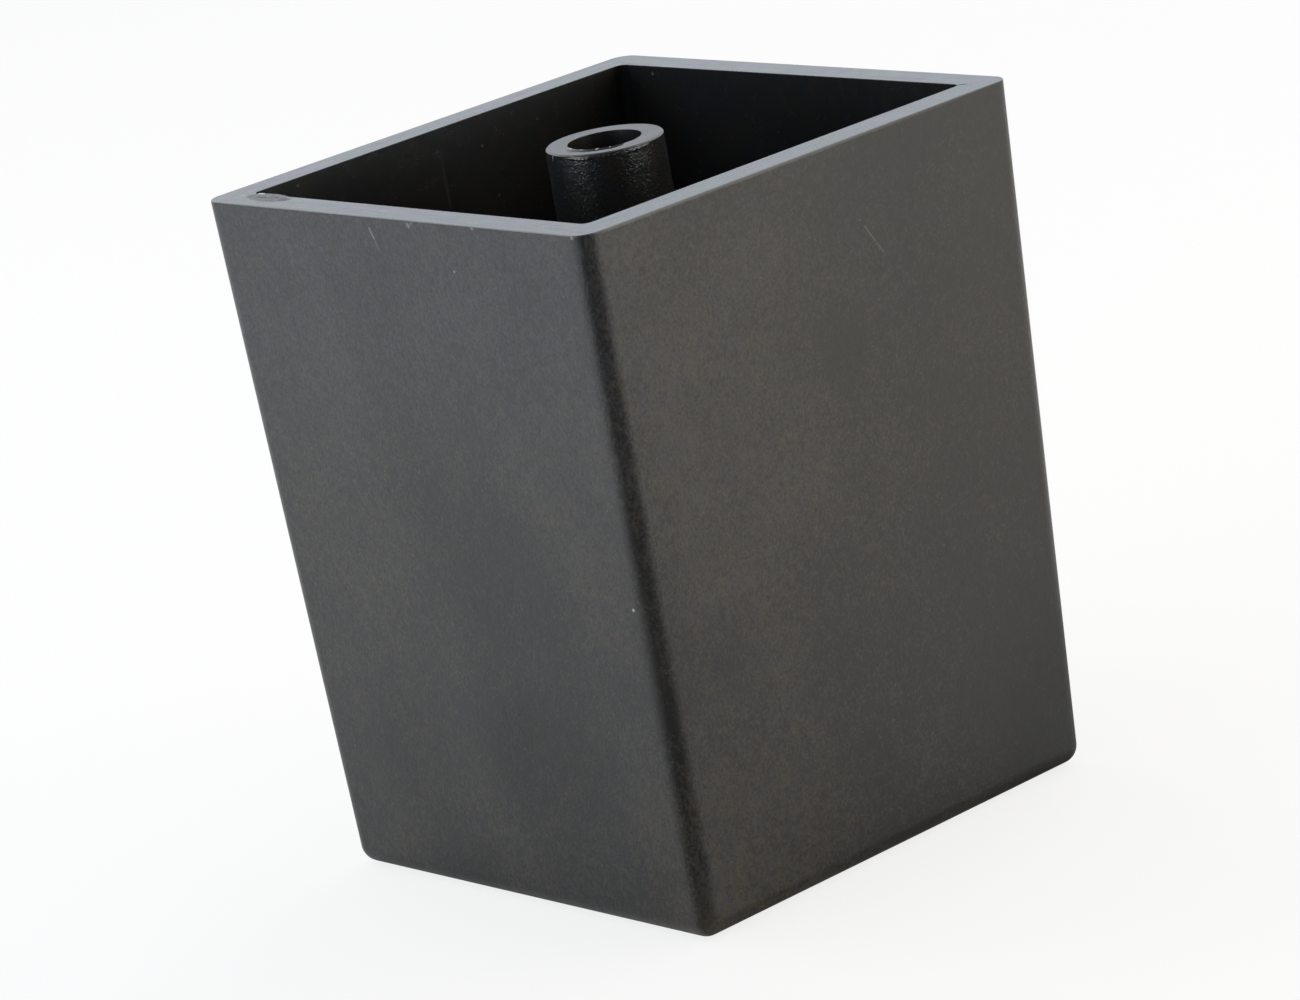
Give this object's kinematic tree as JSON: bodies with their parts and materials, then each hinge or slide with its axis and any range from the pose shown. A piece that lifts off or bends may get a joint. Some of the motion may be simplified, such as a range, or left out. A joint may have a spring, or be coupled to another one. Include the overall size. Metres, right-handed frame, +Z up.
{
  "type": "square furniture foot",
  "caption": "Square tapered plastic furniture foot, hollow from above, with a bored boss in its middle that takes the fixing.",
  "frame": {"origin": "centre of the base, on the surface that the foot stands on", "axes": "+Z up along the bore to the open rim, X and Y square to the sides"},
  "size_m": [0.0644, 0.0644, 0.08],
  "materials": {
    "black_plastic": "satin moulded black, with fine scratches from handling"
  },
  "bodies": {
    "root": {"foot_body": "black_plastic"}
  },
  "joints": []
}
